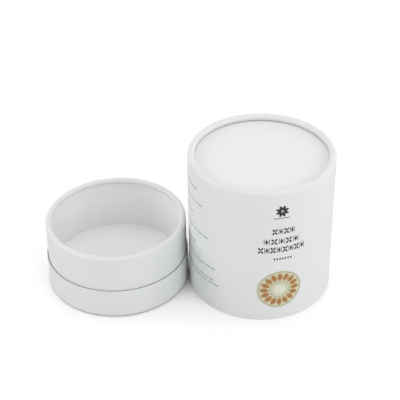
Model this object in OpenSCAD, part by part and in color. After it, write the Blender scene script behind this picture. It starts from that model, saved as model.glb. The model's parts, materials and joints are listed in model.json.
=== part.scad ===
// Round paper tube gift box with rolled edges, its lid taken off and stood beside the base.
// The base is a shallow cup: a band, and a taller neck inside it that the lid slides over.
// Millimetres, +Z up. The origin is on the table, midway between the two axes.

/* [Overall] */
// Outer diameter of the lid and of the base's band
outer_d = 110; // [80:1:140]
// Height of the lid, from its open rim to the top of its rolled edge
lid_h = 116; // [80:1:160]
// Height of the neck's rolled rim above the table
base_h = 55; // [44:0.5:75]
// Height of the band's shoulder, where the closed lid's rim lands
band_h = 25.2; // [16:0.1:32]
// Gap between the lid and the base as they stand side by side
pair_gap = 1.1; // [0.5:0.1:60]

/* [Tube walls] */
// Thickness of the board in the lid's tube
lid_tube_t = 0.5; // [0.3:0.05:0.8]
// Thickness of the board in the neck's tube
neck_tube_t = 0.8; // [0.4:0.05:1]
// Thickness of the outer wrap on the lid and the band
wrap_t = 0.2; // [0.15:0.01:0.3]
// Thickness of the wrap on the neck
neck_wrap_t = 0.15; // [0.1:0.01:0.25]
// Thickness of the lining paper in the lid and in the neck
liner_t = 0.15; // [0.1:0.01:0.25]
// Radial clearance between the lid's lining and the neck
slip = 0.15; // [0.05:0.05:0.4]

/* [Rolled edges] */
// Diameter of the roll at the lid's top and the base's foot
roll_d = 5.2; // [4.4:0.1:6.4]
// Diameter of the roll at the neck's open rim
neck_roll_d = 4.8; // [3.8:0.1:5.4]
// Gap between a roll's tucked end and the wall that it curls back to
tuck_gap = 0.15; // [0.1:0.05:0.4]
// Depth by which the foot's roll is pressed flat where it stands
foot_press = 0.1; // [0.04:0.01:0.12]

/* [Discs] */
// Thickness of the board in both end discs
disc_t = 3; // [1.5:0.1:3.5]
// Thickness of the paper on both faces of a disc
disc_paper_t = 0.2; // [0.1:0.01:0.3]
// Clearance round a disc in its tube
disc_gap = 0.1; // [0.05:0.05:0.3]
// Depth by which a disc's margin is nipped, under the lid's roll or under the neck
nip = 0.05; // [0.02:0.01:0.08]
// Clearance from a disc's open face to the roll or wall beside it
face_gap = 0.2; // [0.1:0.05:0.5]

/* [Lap seams] */
// Width over which a wrap overlaps its own start
lap_w = 8; // [4:0.5:14]
// Height of the lap above the wrap
lap_t = 0.1; // [0.05:0.01:0.15]
// Direction of the lap round the tube, 90 being straight to the back
lap_az = 100; // [60:1:120]

/* [Hidden] */
$fn = 180;

board_color = [0.62, 0.59, 0.55];
wrap_color = [0.93, 0.94, 0.93];
inner_color = [0.90, 0.90, 0.89];

outer_r = outer_d / 2;
roll_r = roll_d / 2;
neck_roll_r = neck_roll_d / 2;

// Radii from the outside of the lid inwards to the neck
lid_tube_r = outer_r - wrap_t;
lid_liner_r = lid_tube_r - lid_tube_t;
lid_bore_r = lid_liner_r - liner_t;
neck_r = lid_bore_r - slip;
neck_tube_r = neck_r - neck_wrap_t;
neck_liner_r = neck_tube_r - neck_tube_t;
neck_bore_r = neck_liner_r - liner_t;
// The band's board fills the space between its wrap and the neck
base_tube_t = outer_r - wrap_t - neck_r;

// Heights of the end discs: the base's lies on the foot's roll, the lid's under the top roll
stack_t = disc_t + 2 * disc_paper_t;
base_disc_z = roll_d - foot_press;
floor_z = base_disc_z + stack_t;
lid_disc_top = lid_h - roll_d + nip;
ceiling_z = lid_disc_top - stack_t;
base_disc_r = neck_r - disc_gap;
lid_disc_r = lid_liner_r - disc_gap;
neck_z = floor_z - nip;

// Radii of the open faces of the two discs that show
panel_face_r = outer_r - roll_d - face_gap;
floor_face_r = neck_bore_r - face_gap;

// The two axes
base_x = -(outer_r + pair_gap / 2);
lid_x = outer_r + pair_gap / 2;

// Angle at which a roll of radius r, wound from a wall of thickness wall, meets that wall again
function roll_end(r, wall) = 360 - acos((r - wall - tuck_gap) / r);

// Section of one ply of a tube that rises from z = 0 and rolls inwards at z = h.
// The ply lies depth below the tube's outer surface at radius r, and is t thick.
module rolled_ply(r, h, rr, wall, depth, t) {
    end = roll_end(rr, wall);
    translate([r - depth - t, 0]) square([t, h - rr]);
    translate([r - rr, h - rr]) difference() {
        circle(r = rr - depth);
        circle(r = rr - depth - t);
        polygon(2 * rr * [[0, 0], [cos(end), sin(end)], [1, 0]]);
    }
}

// A plain paper or board disc
module disc(r, z, t) {
    translate([0, 0, z]) cylinder(r = r, h = t);
}

// The paper on a disc's open side, whose top is at z, with its margin nipped all round
module nipped_paper(r, face_r, z) {
    disc(r, z - disc_paper_t, disc_paper_t - nip);
    disc(face_r, z - disc_paper_t, disc_paper_t);
}

// A plain tube, given by its outer radius
module sleeve(r, t, z0, z1) {
    rotate_extrude() translate([r - t, z0]) square([t, z1 - z0]);
}

// The strip where a wrap laps over its own start
module lap(z0, z1) {
    lap_deg = lap_w / outer_r * 180 / PI;
    rotate([0, 0, lap_az - lap_deg / 2])
        rotate_extrude(angle = lap_deg)
            translate([outer_r - wrap_t / 2, z0])
                square([wrap_t / 2 + lap_t, z1 - z0]);
}

// Turns a ply section into the foot of the base: the roll points down and is pressed flat at
// z = 0, and the straight wall ends at the shoulder
module foot_ply(depth, t) {
    difference() {
        translate([0, 0, band_h]) mirror([0, 0, 1]) rotate_extrude()
            rolled_ply(outer_r, band_h + foot_press, roll_r, wrap_t + base_tube_t, depth, t);
        translate([0, 0, -roll_d]) cylinder(r = outer_r + roll_d, h = roll_d);
    }
}

// Base

module base_tube() {
    color(board_color) translate([base_x, 0, 0]) foot_ply(wrap_t, base_tube_t);
}

module base_wrap() {
    color(wrap_color) translate([base_x, 0, 0]) {
        foot_ply(0, wrap_t);
        lap(roll_r, band_h);
    }
}

module base_foot_paper() {
    color(inner_color) translate([base_x, 0, 0])
        disc(base_disc_r, base_disc_z, disc_paper_t);
}

module base_board() {
    color(board_color) translate([base_x, 0, 0])
        disc(base_disc_r, base_disc_z + disc_paper_t, disc_t);
}

module base_floor_paper() {
    color(inner_color) translate([base_x, 0, 0])
        nipped_paper(base_disc_r, floor_face_r, floor_z);
}

module neck_ply(depth, t) {
    translate([base_x, 0, neck_z]) rotate_extrude()
        rolled_ply(neck_r, base_h - neck_z, neck_roll_r, neck_wrap_t + neck_tube_t, depth, t);
}

module neck_tube() {
    color(board_color) neck_ply(neck_wrap_t, neck_tube_t);
}

module neck_wrap() {
    color(wrap_color) neck_ply(0, neck_wrap_t);
}

module neck_liner() {
    color(inner_color) translate([base_x, 0, 0])
        sleeve(neck_liner_r, liner_t, neck_z, base_h - neck_roll_d);
}

// Lid

module lid_ply(depth, t) {
    translate([lid_x, 0, 0]) rotate_extrude()
        rolled_ply(outer_r, lid_h, roll_r, wrap_t + lid_tube_t, depth, t);
}

module lid_tube() {
    color(board_color) lid_ply(wrap_t, lid_tube_t);
}

module lid_wrap() {
    color(wrap_color) {
        lid_ply(0, wrap_t);
        translate([lid_x, 0, 0]) lap(0, lid_h - roll_r);
    }
}

module lid_liner() {
    color(inner_color) translate([lid_x, 0, 0])
        sleeve(lid_liner_r, liner_t, 0, ceiling_z);
}

module lid_panel_paper() {
    color(wrap_color) translate([lid_x, 0, 0])
        nipped_paper(lid_disc_r, panel_face_r, lid_disc_top);
}

module lid_board() {
    color(board_color) translate([lid_x, 0, 0])
        disc(lid_disc_r, ceiling_z + disc_paper_t, disc_t);
}

module lid_ceiling_paper() {
    color(inner_color) translate([lid_x, 0, 0])
        disc(lid_disc_r, ceiling_z, disc_paper_t);
}

base_tube();
base_wrap();
base_foot_paper();
base_board();
base_floor_paper();
neck_tube();
neck_wrap();
neck_liner();
lid_tube();
lid_wrap();
lid_liner();
lid_panel_paper();
lid_board();
lid_ceiling_paper();
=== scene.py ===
import json
import math
import random

import bpy
from mathutils import Matrix, Vector


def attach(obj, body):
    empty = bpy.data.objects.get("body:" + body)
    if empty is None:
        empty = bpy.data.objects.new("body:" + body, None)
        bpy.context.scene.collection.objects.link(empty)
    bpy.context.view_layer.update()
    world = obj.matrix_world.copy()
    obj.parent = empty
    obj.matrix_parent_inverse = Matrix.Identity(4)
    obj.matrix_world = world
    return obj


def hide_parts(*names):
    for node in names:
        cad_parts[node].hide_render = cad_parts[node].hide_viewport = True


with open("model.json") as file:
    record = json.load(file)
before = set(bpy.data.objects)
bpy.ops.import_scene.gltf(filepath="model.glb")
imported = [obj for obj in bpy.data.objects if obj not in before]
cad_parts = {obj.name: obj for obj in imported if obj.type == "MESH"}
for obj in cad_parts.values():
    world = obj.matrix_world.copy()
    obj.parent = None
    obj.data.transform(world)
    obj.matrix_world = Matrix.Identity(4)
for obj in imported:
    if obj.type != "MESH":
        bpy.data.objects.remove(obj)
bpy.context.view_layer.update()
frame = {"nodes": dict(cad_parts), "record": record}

# A round paper tube gift box with rolled edges: its lid stands beside its open base.
# Metres, in the frame of the CAD model.

# Sizes, as in the CAD model
OUTER_R = 0.055
LID_H = 0.116
BASE_H = 0.055
BAND_H = 0.0252
PAIR_GAP = 0.0011
LID_TUBE_T = 0.0005
NECK_TUBE_T = 0.0008
WRAP_T = 0.0002
NECK_WRAP_T = 0.00015
LINER_T = 0.00015
SLIP = 0.00015
ROLL_R = 0.0026
NECK_ROLL_R = 0.0024
TUCK_GAP = 0.00015
FOOT_PRESS = 0.0001
DISC_T = 0.003
DISC_PAPER_T = 0.0002
NIP = 0.00005
LAP_W = 0.008
LAP_T = 0.0001
LAP_AZ = math.radians(100)

# Worked out from them, as in the CAD model
LID_WALL = WRAP_T + LID_TUBE_T
NECK_R = OUTER_R - LID_WALL - LINER_T - SLIP
NECK_WALL = NECK_WRAP_T + NECK_TUBE_T
BAND_WALL = OUTER_R - NECK_R
FLOOR_Z = 2 * ROLL_R - FOOT_PRESS + DISC_T + 2 * DISC_PAPER_T
NECK_Z = FLOOR_Z - NIP
BASE_X = -(OUTER_R + PAIR_GAP / 2)
LID_X = OUTER_R + PAIR_GAP / 2
LAP_HALF = LAP_W / OUTER_R / 2

# Steps of the wraps' meshes, and half the angle of the close step at each edge of the lap
RING_STEPS = 900
WALL_STEPS = 6
ARC_STEPS = 40
LAP_HAIR = 0.0006
SHARP_ANGLE = math.radians(35)

# The lap flattens out over this much of the roll's turn
LAP_FADE = 0.5 * math.pi

# Creases that the paper takes as it is rolled in. Each wanders by a share of their spacing and
# varies in depth and width by shares of the values given. It ends CREASE_REACH widths away.
CREASE_SPACING = 0.0029
CREASE_DEPTH = 0.00006
CREASE_WIDTH = 0.0004
CREASE_WANDER = 0.38
CREASE_DEPTHS = (0.25, 1.0)
CREASE_WIDTHS = (0.7, 1.4)
CREASE_REACH = 3

# On the roll's turn the creases begin at one angle and are full after another
CREASE_START = 0.25 * math.pi
CREASE_RISE = 0.6 * math.pi

# Slight unevenness of the walls: how many times each wave comes round the tube, the greatest
# depth of a wave, and the shares of it between which a wave's depth is drawn
SWAY_WAVES = (2, 3, 5, 8)
SWAY_DEPTH = 0.00003
SWAY_SHARES = (0.3, 1)

# Seeds of the three wraps' creases, and the step from each to the seed of its unevenness
LID_SEED = 11
BAND_SEED = 12
NECK_SEED = 13
SWAY_SEED = 50

# Painted shade: the wrap's colour is made a little greyer where it turns round a roll, in full
# once the lap has faded by this share
ROLL_SHADE_SHARE = "roll_shade_share"
ROLL_FULL = 0.5
ROLL_PAINTED_SHADE = (0.935, 0.925, 0.93)

# The print stands this far proud of the wrap, and each layer of the rosette a little further
INK_T = 0.00003
LAYER_STEP = 0.8 * INK_T

# Longest cell of a bar, and the share of a patch's radius that its middle face takes
BAR_CELL = 0.0015
PATCH_HEART = 0.02

# Emblem: its middle, along the arc from the lid's front and up, and its sizes. A leaf's shares of
# the reach are the way out to its middle, its length and its width.
EMBLEM_AT = (0.0147, 0.0996)
EMBLEM_REACH = 0.0049
EMBLEM_LEAVES = 8
EMBLEM_LEAF = (0.6, 0.85, 0.44)
EMBLEM_DOT_R = 0.0005
EMBLEM_RULE_HALF = 0.006
EMBLEM_RULE_Z = (0.0934, 0.0939)

# Rows of ornament: left, right, foot, top, number of motifs, and the motif that comes first,
# 0 for a quatrefoil and 1 for a barred lozenge. A motif takes MOTIF_SHARE of its place's width.
ORNAMENT_ROWS = [
    (0.0075, 0.0249, 0.0795, 0.0846, 4, 0),
    (0.0012, 0.0286, 0.0707, 0.0758, 5, 1),
    (-0.0025, 0.0334, 0.0630, 0.0683, 8, 0),
]
MOTIF_SHARE = 0.8

# Quatrefoil: its leaf's shares of the reach, as in the emblem, and its dot's share of the width
QUATREFOIL_LEAF = (0.56, 0.86, 0.42)
QUATREFOIL_DOT = 0.09

# Barred lozenge, in shares of the motif's width and height, and half a bar's thickness
LOZENGE_HALF_W = 0.24
BAR_PLACE = 0.42
BAR_HALF_H = 0.46
BAR_HALF_T = 0.00024

# Row of small lozenges: left, right and middle height, their number, and their half sizes
SMALL_ROW = (0.0089, 0.0235, 0.0572)
SMALL_LOZENGES = 7
SMALL_LOZENGE_HALF = (0.0007, 0.0013)

# Rosette: its middle, its radii, and the leaves of its wreath. The veins in each leaf have a turn
# away from the leaf's middle, and a share of its length.
ROSETTE_AT = (0.0146, 0.0285)
ROSETTE_R = 0.0172
WREATH_IN_R = 0.0082
WREATH_OUT_R = 0.0152
WREATH_LEAVES = 16
WREATH_LEAF_W = 0.0042
VEINS = [(-0.055, 0.53), (0.0, 0.75), (0.055, 0.53)]
VEIN_W = 0.0003
FINE_RINGS = [(0.0160, 0.0163), (0.0072, 0.00745)]
HEART_R = 0.0045

# Grey rules on the lid's left side: degrees from +X of the right end, and height. They start at
# one angle and are broken into dashes of random length.
SIDE_RULES = [(-148.6, 0.1005), (-141.5, 0.0890), (-156.0, 0.0762), (-135.0, 0.0637),
              (-151.2, 0.0510), (-127.9, 0.0382), (-129.4, 0.0272), (-124.2, 0.0239)]
SIDE_RULES_START = -176.0
SIDE_RULE_HALF_H = 0.0004
SIDE_DASHES = (0.003, 0.0065)
SIDE_DASH_GAP = 0.0011
SIDE_SEED = 7

# Pair of faint rules near the lid's right edge: degrees from +X, heights and half sizes
SIDE_MARK_AZ = -19
SIDE_MARK_Z = (0.0645, 0.0662)
SIDE_MARK_HALF = (0.001, 0.0003)

# Camera, fitted to the outlines in the photograph
CAMERA_AT = (0.041869, -0.696870, 0.565421)
CAMERA_RIGHT = (0.99920632, 0.03811594, -0.01157162)
CAMERA_UP = (-0.01261226, 0.57828021, 0.81574072)
CAMERA_BACK = (0.03778437, -0.81494734, 0.57830197)
CAMERA_LENS = 101.452
CAMERA_SENSOR = 36.0

# Lamps: name, place, edge of the square lamp, power in watts
LAMPS = [
    ("lamp_top", (0.1, 0.1, 1.3), 1.0, 3.4),
    ("lamp_right", (1.3, 0.1, 0.6), 0.8, 4.0),
    ("lamp_left", (-1.3, 0.0, 0.6), 0.8, 5.2),
    ("lamp_left_front", (-0.9, -1.1, 0.7), 0.8, 2.7),
    ("lamp_right_front", (0.9, -1.1, 0.7), 0.8, 6.2),
    ("lamp_back_left", (-0.7, 1.4, 0.4), 0.8, 3.5),
    ("lamp_back_right", (0.8, 1.3, 0.4), 0.8, 3.5),
]
LAMP_AIM = (0.0, 0.0, 0.05)
WORLD_LIGHT = 0.6

# Floor: half its edge, its colour, and its glow for the camera at two distances from the origin
FLOOR_HALF = 4.0
FLOOR_COLOUR = (0.66, 0.66, 0.66)
# Painted shade: the glow is weaker near the pieces, so the floor reads darker round them
FLOOR_REACH = (0.35, 1.0)
FLOOR_GLOW = (0.32, 1.0)

# Painted shade in the notch: the glow fades out as the part of the sky that nothing within
# NOTCH_REACH hides falls from the second of these shares to the first
NOTCH_REACH = 0.03
NOTCH_OPEN = (0.2, 0.6)

# Sockets of a colour mix, whose names are shared with its number and vector sockets
MIX_SHARE = 0
MIX_FIRST = 6
MIX_SECOND = 7
MIX_COLOUR = 2

# A noise lies mostly between these values
NOISE_SPAN = (0.3, 0.7)

# Materials


def add_node(owner, kind, **values):
    """A shader node of a material or a world. Values go to sockets, or else to settings."""
    node = owner.node_tree.nodes.new(kind)
    for key, value in values.items():
        if key in node.inputs:
            node.inputs[key].default_value = value
        else:
            setattr(node, key, value)
    return node


def feed(owner, value, socket):
    """Links an output to a socket, or sets the socket to a plain value."""
    if isinstance(value, bpy.types.NodeSocket):
        owner.node_tree.links.new(value, socket)
    else:
        socket.default_value = value


def new_material(name, rgb, roughness, specular):
    mat = bpy.data.materials.new(name)
    mat.use_nodes = True
    shader = mat.node_tree.nodes["Principled BSDF"]
    shader.inputs["Base Color"].default_value = (*rgb, 1)
    shader.inputs["Roughness"].default_value = roughness
    shader.inputs["Specular IOR Level"].default_value = specular
    return mat, shader


def coordinates(mat, scale=(1, 1, 1)):
    source = add_node(mat, "ShaderNodeTexCoord")
    mapping = add_node(mat, "ShaderNodeMapping", Scale=scale)
    feed(mat, source.outputs["Object"], mapping.inputs["Vector"])
    return mapping.outputs["Vector"]


def noise(mat, vector, scale, detail=3.0, rough=0.55):
    node = add_node(mat, "ShaderNodeTexNoise", Scale=scale, Detail=detail, Roughness=rough)
    feed(mat, vector, node.inputs["Vector"])
    return node.outputs["Fac"]


def ramp(mat, value, stops):
    """Colours for a value, from stops that are each a place from 0 to 1 and a colour."""
    node = add_node(mat, "ShaderNodeValToRGB")
    band = node.color_ramp
    while len(band.elements) < len(stops):
        band.elements.new(0.5)
    for element, (place, rgb) in zip(band.elements, stops):
        element.position = place
        element.color = (*rgb, 1)
    feed(mat, value, node.inputs["Fac"])
    return node.outputs["Color"]


def remap(owner, value, source, target=(0.0, 1.0)):
    """Carries a value from one span of numbers over to another."""
    node = add_node(owner, "ShaderNodeMapRange")
    node.inputs["From Min"].default_value = source[0]
    node.inputs["From Max"].default_value = source[1]
    node.inputs["To Min"].default_value = target[0]
    node.inputs["To Max"].default_value = target[1]
    feed(owner, value, node.inputs["Value"])
    return node.outputs["Result"]


def product(owner, first, second):
    node = add_node(owner, "ShaderNodeMath", operation="MULTIPLY")
    feed(owner, first, node.inputs[0])
    feed(owner, second, node.inputs[1])
    return node.outputs[0]


def tinted(mat, colour, tint, share):
    """A colour multiplied by a tint, by the share given."""
    node = add_node(mat, "ShaderNodeMix", data_type="RGBA", blend_type="MULTIPLY")
    feed(mat, share, node.inputs[MIX_SHARE])
    feed(mat, colour, node.inputs[MIX_FIRST])
    feed(mat, tint, node.inputs[MIX_SECOND])
    return node.outputs[MIX_COLOUR]


def bump(mat, shader, layers):
    """Chains bump layers, each a height output with its strength and distance."""
    last = None
    for height, strength, distance in layers:
        node = add_node(mat, "ShaderNodeBump", Strength=strength, Distance=distance)
        feed(mat, height, node.inputs["Height"])
        if last:
            feed(mat, last, node.inputs["Normal"])
        last = node.outputs["Normal"]
    feed(mat, last, shader.inputs["Normal"])


def scaled(rgb, factor):
    return tuple(c * factor for c in rgb)


def paper_material(name, rgb, roughness, fibre=0.25, mottle=0.02, specular=0.4):
    """Paper with a faint cloudy formation, short fibres and a soft uneven sheen."""
    mat, shader = new_material(name, rgb, roughness, specular)
    place = coordinates(mat)
    cloud = noise(mat, place, scale=420, detail=4.0)
    grain = noise(mat, place, scale=3800, detail=2.0, rough=0.6)
    lengthwise = noise(mat, coordinates(mat, (1, 1, 0.2)), scale=2600, rough=0.65)
    patches = noise(mat, place, scale=150)
    tint = ramp(mat, cloud, [(0.3, scaled(rgb, 1 - mottle)), (0.7, rgb)])
    sheen = remap(mat, patches, NOISE_SPAN, (roughness - 0.05, roughness + 0.05))
    feed(mat, tint, shader.inputs["Base Color"])
    feed(mat, sheen, shader.inputs["Roughness"])
    bump(mat, shader, [(cloud, fibre * 0.4, 0.00004), (grain, fibre, 0.00001),
                       (lengthwise, fibre, 0.000015)])
    return mat


def paint_roll_shade(mat):
    """Paints shade into the wrap's colour where it turns and creases round a roll."""
    socket = mat.node_tree.nodes["Principled BSDF"].inputs["Base Color"]
    share = add_node(mat, "ShaderNodeAttribute", attribute_name=ROLL_SHADE_SHARE)
    before = socket.links[0].from_socket
    # Painted shade: the colour is multiplied by the grey tone by the roll's share
    feed(mat, tinted(mat, before, (*ROLL_PAINTED_SHADE, 1), share.outputs["Fac"]), socket)
    return mat


def greyboard_material(name):
    """Recycled board: grey-brown fibre pulp with darker flecks and layered edges."""
    base = (0.30, 0.295, 0.275)
    fleck = (0.45, 0.42, 0.4)
    mat, shader = new_material(name, base, 0.92, 0.25)
    place = coordinates(mat)
    pulp = noise(mat, place, scale=900, detail=5.0, rough=0.65)
    flecks = noise(mat, coordinates(mat, (1, 1, 0.4)), scale=2400, detail=2.0)
    plies = noise(mat, coordinates(mat, (1, 1, 14)), scale=260, detail=2.0)
    colour = ramp(mat, pulp, [(0.3, scaled(base, 0.72)), (0.52, base), (0.75, scaled(base, 1.2))])
    tint = ramp(mat, flecks, [(0.3, fleck), (0.42, (1, 1, 1))])
    feed(mat, tinted(mat, colour, tint, 0.5), shader.inputs["Base Color"])
    bump(mat, shader, [(pulp, 0.5, 0.00006), (plies, 0.4, 0.00004), (flecks, 0.3, 0.00002)])
    return mat


def ink_material(name, rgb, variation=0.12):
    """Printing ink on paper: nearly even, with a little of the paper's grain in it."""
    mat, shader = new_material(name, rgb, 0.5, 0.4)
    place = coordinates(mat)
    cover = noise(mat, place, scale=2200)
    grain = noise(mat, place, scale=3800, detail=2.0)
    thin = scaled(rgb, 1 - variation)
    full = scaled(rgb, 1 + variation / 3)
    feed(mat, ramp(mat, cover, [(0.32, thin), (0.68, full)]), shader.inputs["Base Color"])
    bump(mat, shader, [(grain, 0.2, 0.00001)])
    return mat


WRAP_COLOUR = (0.752, 0.774, 0.766)
# Both wraps are greyed on their rolls: painted shade
WRAP = paint_roll_shade(paper_material("coated_wrap", WRAP_COLOUR, 0.5))
PRINTED_WRAP = paint_roll_shade(paper_material("printed_wrap", WRAP_COLOUR, 0.5))
PANEL = paper_material("panel_paper", (0.765, 0.768, 0.77), 0.55, mottle=0.03)
LINER = paper_material("lining_paper", (0.84, 0.84, 0.84), 0.85, fibre=0.4, mottle=0.035,
                       specular=0.2)
# The cup's floor paper is a lighter copy of the lining paper: painted light on the floor that
# faces up
FLOOR_PAPER_PAINTED_LIGHT = paper_material("floor_paper", (0.92, 0.92, 0.92), 0.8, fibre=0.4, mottle=0.03,
                             specular=0.2)
BOARD = greyboard_material("greyboard")
BLACK_INK = ink_material("black_ink", (0.022, 0.021, 0.02))
GREY_INK = ink_material("grey_ink", (0.30, 0.31, 0.31))
TAN_INK = ink_material("tan_ink", (0.47, 0.25, 0.09))
BROWN_INK = ink_material("brown_ink", (0.26, 0.12, 0.035))
CREAM_INK = ink_material("cream_ink", (0.62, 0.62, 0.45), variation=0.05)
PALE_INK = ink_material("pale_ink", (0.74, 0.73, 0.62), variation=0.05)

SLOT_MATERIALS = {
    "greyboard": BOARD,
    "outer_wrap": WRAP,
    "printed_wrap": PRINTED_WRAP,
    "panel_paper": PANEL,
    "white_paper": LINER,
}


def dress_cad_nodes():
    slots = {part["node"]: part["material_slot"] for part in frame["record"]["subparts"]}
    for name, obj in frame["nodes"].items():
        for slot in obj.material_slots:
            slot.material = SLOT_MATERIALS[slots[name]]
    # Painted light: the cup's floor gets a lighter copy of the lining paper
    for slot in frame["nodes"]["base_floor_paper"].material_slots:
        slot.material = FLOOR_PAPER_PAINTED_LIGHT


# Meshes


def new_piece(name, verts, faces, mat, body, smooth=True):
    mesh = bpy.data.meshes.new(name)
    mesh.from_pydata(verts, [], faces)
    mesh.validate()
    mesh.materials.append(mat)
    if smooth:
        mesh.shade_smooth()
    obj = bpy.data.objects.new(name, mesh)
    bpy.context.collection.objects.link(obj)
    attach(obj, body)
    return obj


# Wraps


class Point:
    """A point of a ply's section: its place, the way it faces, its shares of crease and lap."""

    def __init__(self, r, z, out, up, crease=0.0, lap=0.0):
        self.r = r
        self.z = z
        self.out = out
        self.up = up
        self.crease = crease
        self.lap = lap


def ring_angles():
    """Even angles round the tube, with a close pair at each edge of the lap."""
    angles = [2 * math.pi * i / RING_STEPS for i in range(RING_STEPS)]
    for edge in (LAP_AZ - LAP_HALF, LAP_AZ + LAP_HALF):
        angles = [a for a in angles if abs(a - edge) > 2 * LAP_HAIR]
        angles += [edge - LAP_HAIR, edge + LAP_HAIR]
    return sorted(angles)


def crease_field(angles, radius, seed):
    """The depth of the creases at each angle, as a share of CREASE_DEPTH."""
    rng = random.Random(seed)
    count = round(2 * math.pi * radius / CREASE_SPACING)
    pitch = 2 * math.pi / count
    field = [0.0] * len(angles)
    for k in range(count):
        centre = (k + rng.uniform(-CREASE_WANDER, CREASE_WANDER)) * pitch
        depth = rng.uniform(*CREASE_DEPTHS)
        width = CREASE_WIDTH * rng.uniform(*CREASE_WIDTHS) / radius
        for i, angle in enumerate(angles):
            away = abs((angle - centre + math.pi) % (2 * math.pi) - math.pi) / width
            if away < CREASE_REACH:
                field[i] += depth * math.exp(-away * away)
    return field


def roll_point(centre, reach, angle, crease=0.0, lap=0.0):
    """The section's point at an angle round a roll, reach away from its centre."""
    out = math.cos(angle)
    up = math.sin(angle)
    return Point(centre[0] + reach * out, centre[1] + reach * up, out, up, crease, lap)


def ply_section(radius, height, roll_r, wall, thickness, z0):
    """Closed section of a ply that rises from z0 and is rolled inwards at its height."""
    end = 2 * math.pi - math.acos((roll_r - wall - TUCK_GAP) / roll_r)
    centre = (radius - roll_r, height - roll_r)
    rise = centre[1] - z0
    section = [Point(radius, z0 + rise * i / WALL_STEPS, 1.0, 0.0, lap=1.0)
               for i in range(WALL_STEPS)]
    for i in range(ARC_STEPS + 1):
        angle = end * i / ARC_STEPS
        crease = min(max((angle - CREASE_START) / CREASE_RISE, 0), 1)
        lap = max(0.0, 1 - angle / LAP_FADE)
        section.append(roll_point(centre, roll_r, angle, crease, lap))
    inner_steps = ARC_STEPS // 2
    for i in range(inner_steps, -1, -1):
        section.append(roll_point(centre, roll_r - thickness, end * i / inner_steps))
    section.append(Point(radius - thickness, z0, 1.0, 0.0))
    return section


def foot_section():
    """The band wrap's section: its roll points down and is pressed flat on the table."""
    upright = ply_section(OUTER_R, BAND_H + FOOT_PRESS, ROLL_R, BAND_WALL, WRAP_T, 0.0)
    turned = [Point(p.r, max(BAND_H - p.z, 0.0), p.out, -p.up, p.crease, p.lap) for p in upright]
    return turned[::-1]


def wound_points(centre_x, section, seed, lapped):
    """The section's points at each angle round the axis, with creases, lap and unevenness."""
    angles = ring_angles()
    creases = crease_field(angles, section[0].r - ROLL_R, seed)
    rng = random.Random(seed + SWAY_SEED)
    waves = [(k, rng.uniform(0, 2 * math.pi), rng.uniform(*SWAY_SHARES) * SWAY_DEPTH)
             for k in SWAY_WAVES]
    verts = []
    for angle, crease in zip(angles, creases):
        sway = sum(depth * (math.cos(k * angle + phase) - 1) / 2 for k, phase, depth in waves)
        on_lap = lapped and abs(angle - LAP_AZ) < LAP_HALF
        lift = LAP_T if on_lap else sway
        for point in section:
            shift = lift * point.lap - CREASE_DEPTH * crease * point.crease
            r = point.r + point.out * shift
            z = max(point.z + point.up * shift, 0)
            verts.append((centre_x + r * math.cos(angle), r * math.sin(angle), z))
    return verts


def mark_roll_shade(obj, section):
    """Writes each point's share of painted roll shade: none on the wall, full on the turn."""
    column = [min(1.0, (1 - point.lap) / ROLL_FULL) for point in section]
    share = obj.data.attributes.new(ROLL_SHADE_SHARE, "FLOAT", "POINT")
    share.data.foreach_set("value", column * (len(obj.data.vertices) // len(section)))


def rolled_wrap(name, node, centre_x, section, seed, mat, body, lapped=True):
    """A wrap in place of its CAD node: a ply's section wound round the tube's axis."""
    verts = wound_points(centre_x, section, seed, lapped)
    rows = len(section)
    columns = len(verts) // rows
    faces = []
    for i in range(columns):
        here = i * rows
        there = (i + 1) % columns * rows
        for j in range(rows):
            above = (j + 1) % rows
            faces.append((here + j, there + j, there + above, here + above))
    obj = new_piece(name, verts, faces, mat, body)
    mark_roll_shade(obj, section)
    obj.data.set_sharp_from_angle(angle=SHARP_ANGLE)
    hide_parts(node)
    return obj


def make_wraps():
    lid = ply_section(OUTER_R, LID_H, ROLL_R, LID_WALL, WRAP_T, 0.0)
    neck = ply_section(NECK_R, BASE_H, NECK_ROLL_R, NECK_WALL, NECK_WRAP_T, NECK_Z)
    rolled_wrap("lid_wrap_sheet", "lid_wrap", LID_X, lid, LID_SEED, PRINTED_WRAP, "lid")
    rolled_wrap("base_wrap_sheet", "base_wrap", BASE_X, foot_section(), BAND_SEED, WRAP, "base")
    rolled_wrap("neck_wrap_sheet", "neck_wrap", BASE_X, neck, NECK_SEED, WRAP, "base",
                lapped=False)


# Print


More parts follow.
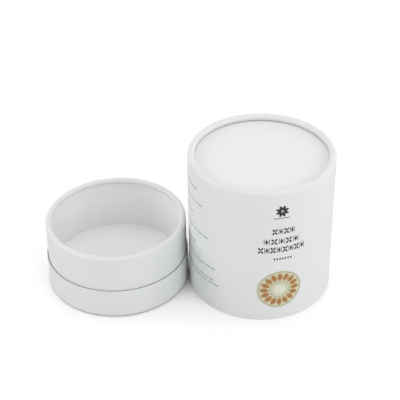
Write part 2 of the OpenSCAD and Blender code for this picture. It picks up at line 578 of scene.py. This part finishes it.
class InkLayer:
    """Thin closed patches that hug the lid. s runs along the arc from its front, z is up."""

    def __init__(self):
        self.verts = []
        self.faces = []

    def point(self, s, z, r):
        angle = s / OUTER_R - math.pi / 2
        self.verts.append((LID_X + r * math.cos(angle), r * math.sin(angle), z))

    def edge(self, a, b, c, d, flip):
        """One face of an edge, wound so that it looks outwards."""
        self.faces.append((a, b, c, d) if flip else (d, c, b, a))

    def sheet(self, place, cells_u, cells_v, closed=False, hollow=True):
        """A grid of cells through place(u, v), with its thickness and its edges.

        A closed grid comes round again to where it starts, as a ring does. One that isn't
        hollow has no edge at v = 0, where a patch has its middle. Returns the numbers of the
        first points of its outer and its inner side.
        """
        first = len(self.verts)
        columns = cells_u if closed else cells_u + 1
        rows = cells_v + 1
        under = first + columns * rows
        for r in (OUTER_R + INK_T, OUTER_R - INK_T):
            for i in range(columns):
                for j in range(rows):
                    self.point(*place(i / cells_u, j / cells_v), r)
        for i in range(cells_u):
            k = (i + 1) % columns
            for j in range(cells_v):
                a, b = first + i * rows + j, first + k * rows + j
                c, d = under + k * rows + j, under + i * rows + j
                self.faces.append((a, b, b + 1, a + 1))
                self.faces.append((d + 1, c + 1, c, d))
            for j in (0, cells_v) if hollow else (cells_v,):
                a, b = first + i * rows + j, first + k * rows + j
                c, d = under + k * rows + j, under + i * rows + j
                self.edge(a, b, c, d, flip=j == cells_v)
        if not closed:
            for i in (0, cells_u):
                for j in range(cells_v):
                    a, d = first + i * rows + j, under + i * rows + j
                    self.edge(a, a + 1, d + 1, d, flip=i == 0)
        return first, under

    def bar(self, s0, s1, z0, z1):
        cells = max(1, math.ceil((s1 - s0) / BAR_CELL))
        self.sheet(lambda u, v: (s0 + (s1 - s0) * u, z0 + (z1 - z0) * v), cells, cells_v=1)

    def shape(self, s, z, outline, steps, rings):
        """A full patch round (s, z) whose edge is outline(angle) away from it."""
        def place(u, v):
            ds, dz = outline(-2 * math.pi * u)
            share = PATCH_HEART + (1 - PATCH_HEART) * v
            return s + ds * share, z + dz * share
        first, under = self.sheet(place, steps, rings, closed=True, hollow=False)
        middle = [i * (rings + 1) for i in range(steps)]
        self.faces.append(tuple(first + i for i in reversed(middle)))
        self.faces.append(tuple(under + i for i in middle))

    def disc(self, s, z, radius, steps, rings):
        self.shape(s, z, lambda t: (radius * math.cos(t), radius * math.sin(t)), steps, rings)

    def leaf(self, s, z, length, width, turn, steps=24):
        """A pointed leaf whose middle is at (s, z) and whose length lies along turn."""
        cos_turn, sin_turn = math.cos(turn), math.sin(turn)

        def outline(t):
            x = length / 2 * math.cos(t)
            y = width / 2 * math.sin(t) * abs(math.sin(t)) ** 0.5
            return x * cos_turn - y * sin_turn, x * sin_turn + y * cos_turn
        self.shape(s, z, outline, steps, rings=2)

    def lozenge(self, s, z, half_w, half_h):
        def outline(t):
            reach = 1 / (abs(math.cos(t)) / half_w + abs(math.sin(t)) / half_h)
            return reach * math.cos(t), reach * math.sin(t)
        self.shape(s, z, outline, steps=16, rings=2)

    def ring(self, s, z, inner, outer):
        def place(u, v):
            return around(s, z, inner + (outer - inner) * v, -2 * math.pi * u)
        self.sheet(place, cells_u=96, cells_v=1, closed=True)

    def piece(self, name, mat):
        return new_piece(name, self.verts, self.faces, mat, "lid", smooth=False)


def around(s, z, reach, turn):
    """The point that lies reach away from (s, z) in the direction turn."""
    return s + reach * math.cos(turn), z + reach * math.sin(turn)


def arc(degrees):
    """The way along the lid's arc from its front to an angle in degrees from +X."""
    return math.radians(degrees + 90) * OUTER_R


def petal(ink, s, z, reach, turn, shares):
    """A leaf that points away from (s, z), sized by shares of a reach."""
    away, length, width = shares
    ink.leaf(*around(s, z, away * reach, turn), length * reach, width * reach, turn)


def quatrefoil(ink, s, z, width, height):
    """Four leaves set crosswise round a dot, sized by the reach from its middle to a corner."""
    turn = math.atan2(height, width)
    reach = math.hypot(width, height) / 2
    for side in (turn, math.pi - turn, -turn, math.pi + turn):
        petal(ink, s, z, reach, side, QUATREFOIL_LEAF)
    ink.lozenge(s, z, width * QUATREFOIL_DOT, width * QUATREFOIL_DOT)


def barred_lozenge(ink, s, z, width, height):
    """An upright lozenge between two thin bars."""
    ink.lozenge(s, z, width * LOZENGE_HALF_W, height / 2)
    tall = height * BAR_HALF_H
    for side in (-1, 1):
        middle = s + side * width * BAR_PLACE
        ink.bar(middle - BAR_HALF_T, middle + BAR_HALF_T, z - tall, z + tall)


def make_emblem():
    """A small flower of eight leaves above a short rule."""
    ink = InkLayer()
    s, z = EMBLEM_AT
    pitch = 2 * math.pi / EMBLEM_LEAVES
    for k in range(EMBLEM_LEAVES):
        petal(ink, s, z, EMBLEM_REACH, (k + 0.5) * pitch, EMBLEM_LEAF)
    ink.disc(s, z, EMBLEM_DOT_R, steps=16, rings=1)
    ink.bar(s - EMBLEM_RULE_HALF, s + EMBLEM_RULE_HALF, *EMBLEM_RULE_Z)
    return ink.piece("print_emblem", BLACK_INK)


def make_ornament_rows():
    """Three rows of quatrefoils and barred lozenges by turns."""
    ink = InkLayer()
    motifs = (quatrefoil, barred_lozenge)
    for s0, s1, z0, z1, count, first in ORNAMENT_ROWS:
        pitch = (s1 - s0) / count
        for k in range(count):
            motif = motifs[(k + first) % 2]
            motif(ink, s0 + (k + 0.5) * pitch, (z0 + z1) / 2, pitch * MOTIF_SHARE, z1 - z0)
    return ink.piece("print_ornament_rows", BLACK_INK)


def make_small_row():
    """A row of small lozenges."""
    ink = InkLayer()
    s0, s1, z = SMALL_ROW
    for k in range(SMALL_LOZENGES):
        s = s0 + (s1 - s0) * (k + 0.5) / SMALL_LOZENGES
        ink.lozenge(s, z, *SMALL_LOZENGE_HALF)
    return ink.piece("print_small_row", BLACK_INK)


def make_rosette():
    """A round rosette: cream ground, a tan wreath with fine brown lines and a pale heart."""
    s, z = ROSETTE_AT
    ground = InkLayer()
    wreath = InkLayer()
    lines = InkLayer()
    heart = InkLayer()
    ground.disc(s, z, ROSETTE_R, steps=96, rings=12)
    middle = (WREATH_IN_R + WREATH_OUT_R) / 2
    length = WREATH_OUT_R - WREATH_IN_R
    for k in range(WREATH_LEAVES):
        turn = 2 * math.pi * k / WREATH_LEAVES
        wreath.leaf(*around(s, z, middle, turn), length, WREATH_LEAF_W, turn)
        for side, share in VEINS:
            place = around(s, z, middle, turn + side)
            lines.leaf(*place, length * share, VEIN_W, turn, steps=8)
    for inner, outer in FINE_RINGS:
        lines.ring(s, z, inner, outer)
    heart.disc(s, z, HEART_R, steps=48, rings=4)
    layers = [ground.piece("print_rosette_ground", CREAM_INK),
              wreath.piece("print_rosette_wreath", TAN_INK),
              lines.piece("print_rosette_lines", BROWN_INK),
              heart.piece("print_rosette_heart", PALE_INK)]
    for level, layer in enumerate(layers):
        lift_layer(layer, level * LAYER_STEP)
    return layers


def lift_layer(obj, height):
    """Moves a layer of ink away from the lid's axis, as inks lie on each other."""
    for vert in obj.data.vertices:
        out = Vector((vert.co.x - LID_X, vert.co.y, 0))
        vert.co += out.normalized() * height


def make_side_rules():
    """Thin broken rules on the lid's left side."""
    ink = InkLayer()
    rng = random.Random(SIDE_SEED)
    start = arc(SIDE_RULES_START)
    for degrees, z in SIDE_RULES:
        s1 = arc(degrees)
        while s1 > start:
            length = rng.uniform(*SIDE_DASHES)
            ink.bar(max(s1 - length, start), s1, z - SIDE_RULE_HALF_H, z + SIDE_RULE_HALF_H)
            s1 -= length + SIDE_DASH_GAP
    return ink.piece("print_side_rules", GREY_INK)


def make_side_mark():
    """A short pair of faint rules near the lid's right edge."""
    ink = InkLayer()
    s = arc(SIDE_MARK_AZ)
    half_w, half_h = SIDE_MARK_HALF
    for z in SIDE_MARK_Z:
        ink.bar(s - half_w, s + half_w, z - half_h, z + half_h)
    return ink.piece("print_side_mark", GREY_INK)


# Stage


def floor_material():
    """Pale paper that keeps shadows, with a camera-only glow that paints shade near the pieces.
    """
    mat = bpy.data.materials.new("floor_white")
    mat.use_nodes = True
    mat.node_tree.nodes.clear()
    place = add_node(mat, "ShaderNodeTexCoord")
    away = add_node(mat, "ShaderNodeVectorMath", operation="LENGTH")
    ray = add_node(mat, "ShaderNodeLightPath")
    shade = add_node(mat, "ShaderNodeAmbientOcclusion", Distance=NOTCH_REACH)
    diffuse = add_node(mat, "ShaderNodeBsdfDiffuse", Color=(*FLOOR_COLOUR, 1))
    glow = add_node(mat, "ShaderNodeEmission")
    both = add_node(mat, "ShaderNodeAddShader")
    out = add_node(mat, "ShaderNodeOutputMaterial")
    feed(mat, place.outputs["Object"], away.inputs[0])
    # Painted shade: less glow near the pieces darkens the floor round them
    glow_with_painted_shade = remap(mat, away.outputs["Value"], FLOOR_REACH, FLOOR_GLOW)
    seen = product(mat, ray.outputs["Is Camera Ray"], glow_with_painted_shade)
    # Painted shade: the glow is dimmed in the notch between the two pieces,
    # where little light reaches the floor
    notch = remap(mat, shade.outputs["AO"], NOTCH_OPEN)
    feed(mat, product(mat, seen, notch), glow.inputs["Strength"])
    feed(mat, diffuse.outputs[0], both.inputs[0])
    feed(mat, glow.outputs[0], both.inputs[1])
    feed(mat, both.outputs[0], out.inputs["Surface"])
    return mat


def make_stage():
    """A pale floor, white to the camera, keeping the object's shadow and painting shade near it.
    """
    half = FLOOR_HALF
    corners = [(-half, -half, 0), (half, -half, 0), (half, half, 0), (-half, half, 0)]
    mesh = bpy.data.meshes.new("floor")
    mesh.from_pydata(corners, [], [(0, 1, 2, 3)])
    floor = bpy.data.objects.new("floor", mesh)
    bpy.context.collection.objects.link(floor)
    mesh.materials.append(floor_material())


def make_world():
    """A soft dome of light that the camera sees as plain white."""
    world = bpy.data.worlds.new("studio")
    bpy.context.scene.world = world
    world.use_nodes = True
    world.node_tree.nodes.clear()
    ray = add_node(world, "ShaderNodeLightPath")
    soft = add_node(world, "ShaderNodeBackground", Color=(1, 1, 1, 1), Strength=WORLD_LIGHT)
    white = add_node(world, "ShaderNodeBackground", Color=(1, 1, 1, 1), Strength=1.0)
    mix = add_node(world, "ShaderNodeMixShader")
    out = add_node(world, "ShaderNodeOutputWorld")
    feed(world, ray.outputs["Is Camera Ray"], mix.inputs["Fac"])
    feed(world, soft.outputs[0], mix.inputs[1])
    feed(world, white.outputs[0], mix.inputs[2])
    feed(world, mix.outputs[0], out.inputs["Surface"])


def make_lamps():
    for name, place, edge, power in LAMPS:
        lamp = bpy.data.lights.new(name, "AREA")
        lamp.size = edge
        lamp.energy = power
        obj = bpy.data.objects.new(name, lamp)
        bpy.context.collection.objects.link(obj)
        obj.location = place
        aim = Vector(LAMP_AIM) - Vector(place)
        obj.rotation_euler = aim.to_track_quat("-Z", "Y").to_euler()


def make_camera():
    camera = bpy.data.cameras.new("camera")
    camera.lens = CAMERA_LENS
    camera.sensor_width = CAMERA_SENSOR
    obj = bpy.data.objects.new("camera", camera)
    bpy.context.collection.objects.link(obj)
    turn = Matrix((CAMERA_RIGHT, CAMERA_UP, CAMERA_BACK)).transposed()
    obj.matrix_world = Matrix.Translation(CAMERA_AT) @ turn.to_4x4()
    bpy.context.scene.camera = obj


make_camera()
dress_cad_nodes()
make_wraps()
make_emblem()
make_ornament_rows()
make_small_row()
make_rosette()
make_side_rules()
make_side_mark()
make_stage()
make_lamps()
make_world()
bpy.context.scene.view_settings.view_transform = "Standard"
